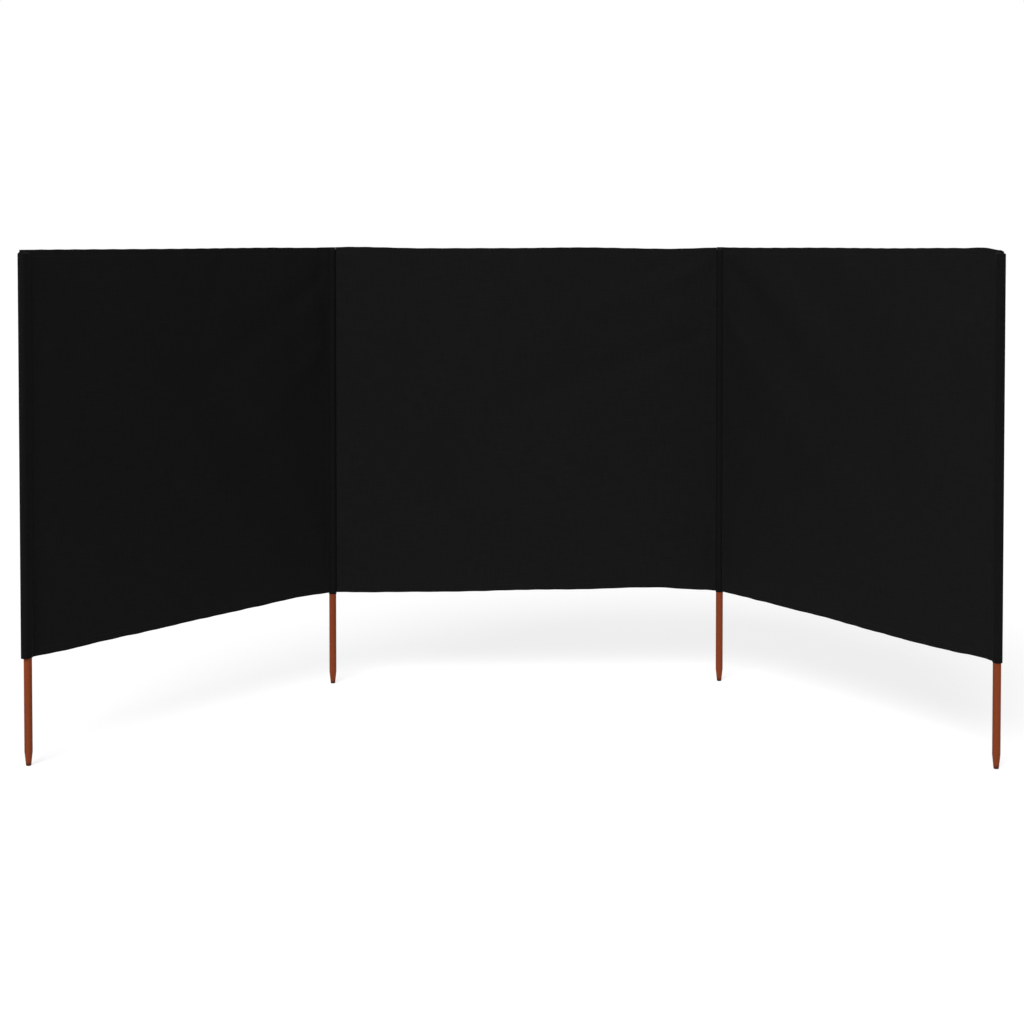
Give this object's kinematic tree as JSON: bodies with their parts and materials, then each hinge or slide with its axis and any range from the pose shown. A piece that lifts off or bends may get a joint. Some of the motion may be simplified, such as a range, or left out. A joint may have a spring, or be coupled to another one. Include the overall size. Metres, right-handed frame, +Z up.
{
  "type": "three-bay beach windbreak",
  "caption": "Freestanding beach windbreak: dark canvas bays hung on pointed wooden stakes that drive into sand, with end bays that swing on the inner stakes.",
  "frame": {"origin": "centre of the flat point of the left inner stake, as seen from the sheltered side", "axes": "+X along the centre bay to the right inner stake, -Y towards the sheltered side, +Z up the stakes"},
  "size_m": [2.8389, 1.1999, 1.5],
  "materials": {
    "canvas": "matt, near-black woven canvas",
    "stakes": "red-brown stained softwood, satin"
  },
  "bodies": {
    "centre_bay": {"left_inner_stake": "stakes", "left_inner_sleeve": "canvas", "left_inner_sleeve_top": "canvas", "right_inner_stake": "stakes", "right_inner_sleeve": "canvas", "right_inner_sleeve_top": "canvas", "centre_panel": "canvas", "centre_top_hem": "canvas", "centre_foot_hem": "canvas", "centre_panel_left_lap": "canvas", "centre_panel_right_lap": "canvas"},
    "left_bay": {"left_end_stake": "stakes", "left_end_sleeve": "canvas", "left_end_sleeve_top": "canvas", "left_panel": "canvas", "left_top_hem": "canvas", "left_foot_hem": "canvas", "left_panel_left_lap": "canvas", "left_panel_right_lap": "canvas"},
    "right_bay": {"right_end_stake": "stakes", "right_end_sleeve": "canvas", "right_end_sleeve_top": "canvas", "right_panel": "canvas", "right_top_hem": "canvas", "right_foot_hem": "canvas", "right_panel_left_lap": "canvas", "right_panel_right_lap": "canvas"}
  },
  "joints": [
    {"name": "left_swing", "type": "hinge", "parent": "centre_bay", "child": "left_bay", "pos_m": [0, 0, 0.9], "axis": [0, 0, 1], "range_deg": [-142, 108]},
    {"name": "right_swing", "type": "hinge", "parent": "centre_bay", "child": "right_bay", "pos_m": [1.333, 0, 0.9], "axis": [0, 0, 1], "range_deg": [-29.4, 220.6]}
  ]
}
